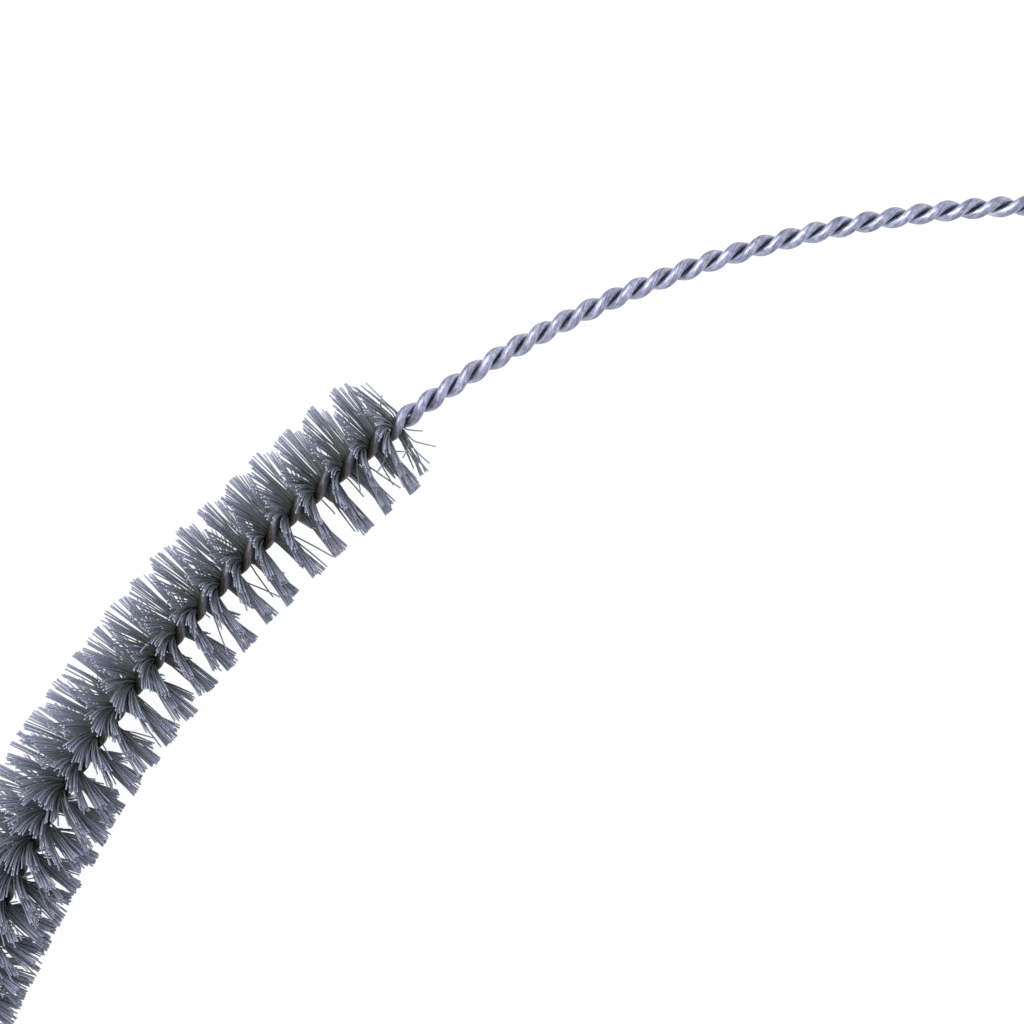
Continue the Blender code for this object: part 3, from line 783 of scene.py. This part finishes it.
# The ferrule: a cap of thin tinned steel, drawn in a press, with a hole for the wires in its
# closed end and a rolled bead at its open one, pushed on the spigot and pinned by punch marks.
# Its section is given as places along the handle's line, from the handle's front, and radii.
FERRULE_SIDES = 56
FERRULE_INNER_RADIUS = 0.00694
FERRULE_OUTER_RADIUS = 0.00774
HOLE_RIM_RADIUS = 0.00323
BEAD_END = 0.0150
PUNCHED_FROM = 0.0048
PUNCHED_TO = 0.0064
FERRULE_PROFILE = (
    (BEAD_END, FERRULE_INNER_RADIUS), (-0.0003, FERRULE_INNER_RADIUS), (-0.0003, HOLE_RIM_RADIUS),
    (-0.0005, SOCKET_RADIUS), (-0.0011, SOCKET_RADIUS), (-0.0013, HOLE_RIM_RADIUS),
    (-0.0013, 0.0066), (-0.00123, 0.0070), (-0.00100, 0.00736), (-0.00068, 0.00759),
    (-0.0003, 0.0077), (0.0002, FERRULE_OUTER_RADIUS), (PUNCHED_FROM, FERRULE_OUTER_RADIUS),
    (PUNCHED_TO, FERRULE_OUTER_RADIUS), (0.0126, FERRULE_OUTER_RADIUS), (0.0130, 0.00785),
    (0.0133, 0.00811), (0.0137, 0.00829), (0.0140, 0.00834), (0.0143, 0.00829),
    (0.0147, 0.00811), (BEAD_END, 0.00780), (BEAD_END, FERRULE_INNER_RADIUS))
PUNCH_MARKS = 4
PUNCHED_WITHIN_FACETS = 0.6
PUNCH_RIM = 0.00025
PUNCH_DEPTH = 0.0004

# Tinned steel: a smooth, slightly warm grey metal with a soft cloudiness in the tin, 2 to 3 mm
# across, and faint lines round the cap, 0.1 mm apart, where it rubbed along the press tool.
CLOUDS_PER_METRE = 380.0
RUBBING_LINES_PER_METRE = 9000.0
RUBBING_STRETCH = (0.02, 0.02, 1.0)
RUBBING_DEPTH = 0.00003

tinplate, tree, shader = new_material("tinned_steel", 0.28, 1.0)
place = add_node(tree, "ShaderNodeTexCoord")
in_handle = add_node(tree, "ShaderNodeMapping", {"vector_type": "TEXTURE"}, {
    "Vector": place.outputs["Object"], "Location": handle_front, "Rotation": handle_turn.to_euler()})
rub_place = add_node(tree, "ShaderNodeMapping", inputs={
    "Vector": in_handle.outputs["Vector"], "Scale": RUBBING_STRETCH})
rubbing = add_node(tree, "ShaderNodeTexNoise", inputs={
    "Vector": rub_place.outputs["Vector"], "Scale": RUBBING_LINES_PER_METRE, "Detail": 2.0})
clouds = add_node(tree, "ShaderNodeTexNoise", inputs={
    "Vector": in_handle.outputs["Vector"], "Scale": CLOUDS_PER_METRE, "Detail": 3.0})
tin_tone = add_node(tree, "ShaderNodeValToRGB", inputs={"Fac": clouds.outputs["Fac"]}, stops=[
    (0.30, "#a3a4a8"), (0.52, "#b8b9bc"), (0.72, "#c6c7ca")])
tree.links.new(tin_tone.outputs["Color"], shader.inputs["Base Color"])
rough = add_node(tree, "ShaderNodeMapRange", inputs={
    "Value": clouds.outputs["Fac"], "From Min": 0.3, "From Max": 0.7, "To Min": 0.22, "To Max": 0.36})
tree.links.new(rough.outputs["Result"], shader.inputs["Roughness"])
bump = add_node(tree, "ShaderNodeBump", inputs={
    "Height": rubbing.outputs["Fac"], "Strength": 0.10, "Distance": RUBBING_DEPTH})
tree.links.new(bump.outputs["Normal"], shader.inputs["Normal"])

ferrule = turned_shape("drawn_ferrule", FERRULE_SIDES, FERRULE_PROFILE, closed_ring=True)
# The punch marks: the two facets that meet at each mark are pressed in together.
select_only(ferrule)
middle_of_wall = (FERRULE_INNER_RADIUS + FERRULE_OUTER_RADIUS) / 2
marks_per_facet = PUNCH_MARKS / FERRULE_SIDES
for face in ferrule.data.polygons:
    centre = face.center.to_2d()
    marks_round = centre.angle_signed(Vector((1, 0))) / (2 * pi) * PUNCH_MARKS
    from_mark = abs((marks_round + 0.5) % 1.0 - 0.5)
    on_wall = PUNCHED_FROM < face.center.z < PUNCHED_TO and centre.length > middle_of_wall
    face.select = on_wall and from_mark < PUNCHED_WITHIN_FACETS * marks_per_facet
bpy.ops.object.mode_set(mode="EDIT")
bpy.ops.mesh.select_mode(type="FACE")
bpy.ops.mesh.inset(thickness=PUNCH_RIM, depth=0)
bpy.ops.mesh.inset(thickness=PUNCH_RIM, depth=-PUNCH_DEPTH)
bpy.ops.object.mode_set(mode="OBJECT")
lay_along_handle(ferrule, tinplate, sharp_angle=radians(40))
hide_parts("ferrule")


# Camera: straight above the brush as it lies, at the distance that gives the photograph's
# perspective. The first filament sits at its pixel of an image 1024 pixels wide and high.
PIXELS_PER_METRE = 4250.0
FOCAL_PIXELS = 2000.0
IMAGE_PIXELS = 1024.0
FIRST_FILAMENT_PIXEL = (397.9, 423.6)
SENSOR_WIDTH = 36.0

camera_data = bpy.data.cameras.new("camera")
camera_data.sensor_width = SENSOR_WIDTH
camera_data.lens = FOCAL_PIXELS / IMAGE_PIXELS * SENSOR_WIDTH
camera = bpy.data.objects.new("camera", camera_data)
camera.location = (
    first_filament.x + (IMAGE_PIXELS / 2 - FIRST_FILAMENT_PIXEL[0]) / PIXELS_PER_METRE,
    first_filament.y - (IMAGE_PIXELS / 2 - FIRST_FILAMENT_PIXEL[1]) / PIXELS_PER_METRE,
    first_filament.z + FOCAL_PIXELS / PIXELS_PER_METRE,
)
bpy.context.scene.collection.objects.link(camera)
bpy.context.scene.camera = camera
bpy.context.scene.view_settings.view_transform = "Standard"


# Floor and light: a plain white paper floor, wide soft lamps from above and an even white
# surround, so that colours render about as written. The camera, metal and gloss see the floor
# and the surround as white, while the light on the brush stays plain. Each lamp has a name, a
# place, a width in metres and a power in watts.
FLOOR_SIZE = 6.0
PAPER_WHITE = 0.80
PAPER_BLEACHED = 0.85
BLEACH_STRENGTH = 1.12
SURROUND_LIGHT = 0.42
SURROUND_SEEN = 1.0
LAMPS = (
    ("key", (-0.55, 0.60, 0.9), 1.1, 10.5),
    ("fill", (0.55, -0.50, 1.2), 1.2, 2.0),
)


def seen_as_background(tree):
    """Output that is 1 for rays from the camera, off gloss and through glass, and else 0."""
    rays = add_node(tree, "ShaderNodeLightPath")
    seen = add_node(tree, "ShaderNodeMath", {"operation": "MAXIMUM"}, {
        0: rays.outputs["Is Camera Ray"], 1: rays.outputs["Is Glossy Ray"]})
    seen = add_node(tree, "ShaderNodeMath", {"operation": "MAXIMUM"}, {
        0: seen.outputs[0], 1: rays.outputs["Is Transmission Ray"]})
    return seen.outputs[0]


bpy.ops.mesh.primitive_plane_add(size=FLOOR_SIZE, location=(0, 0, 0))
floor = bpy.context.active_object
floor.name = "floor"
paper, tree, shader = new_material("white_paper", 1.0, 0.0)
shader.inputs["Base Color"].default_value = (PAPER_WHITE, PAPER_WHITE, PAPER_WHITE, 1)
shader.inputs["Specular IOR Level"].default_value = 0.0
bleaching = add_node(tree, "ShaderNodeMath", {"operation": "MULTIPLY"}, {
    0: seen_as_background(tree), 1: PAPER_BLEACHED})
glow = add_node(tree, "ShaderNodeEmission", inputs={
    "Color": (1, 1, 1, 1), "Strength": BLEACH_STRENGTH})
bleached = add_node(tree, "ShaderNodeMixShader", inputs={
    0: bleaching.outputs[0], 1: shader.outputs["BSDF"], 2: glow.outputs["Emission"]})
tree.links.new(bleached.outputs["Shader"], tree.nodes["Material Output"].inputs["Surface"])
floor.data.materials.append(paper)

world = bpy.data.worlds.new("studio")
world.use_nodes = True
tree = world.node_tree
strength = add_node(tree, "ShaderNodeMapRange", inputs={
    "Value": seen_as_background(tree), "To Min": SURROUND_LIGHT, "To Max": SURROUND_SEEN})
tree.nodes["Background"].inputs["Color"].default_value = (1, 1, 1, 1)
tree.links.new(strength.outputs["Result"], tree.nodes["Background"].inputs["Strength"])
bpy.context.scene.world = world

for lamp_name, lamp_place, size, power in LAMPS:
    lamp_data = bpy.data.lights.new(lamp_name, "AREA")
    lamp_data.size = size
    lamp_data.energy = power
    lamp = bpy.data.objects.new(lamp_name, lamp_data)
    lamp.location = lamp_place
    lamp.rotation_euler = (-Vector(lamp_place)).to_track_quat("-Z", "Y").to_euler()
    bpy.context.scene.collection.objects.link(lamp)

bpy.context.view_layer.update()
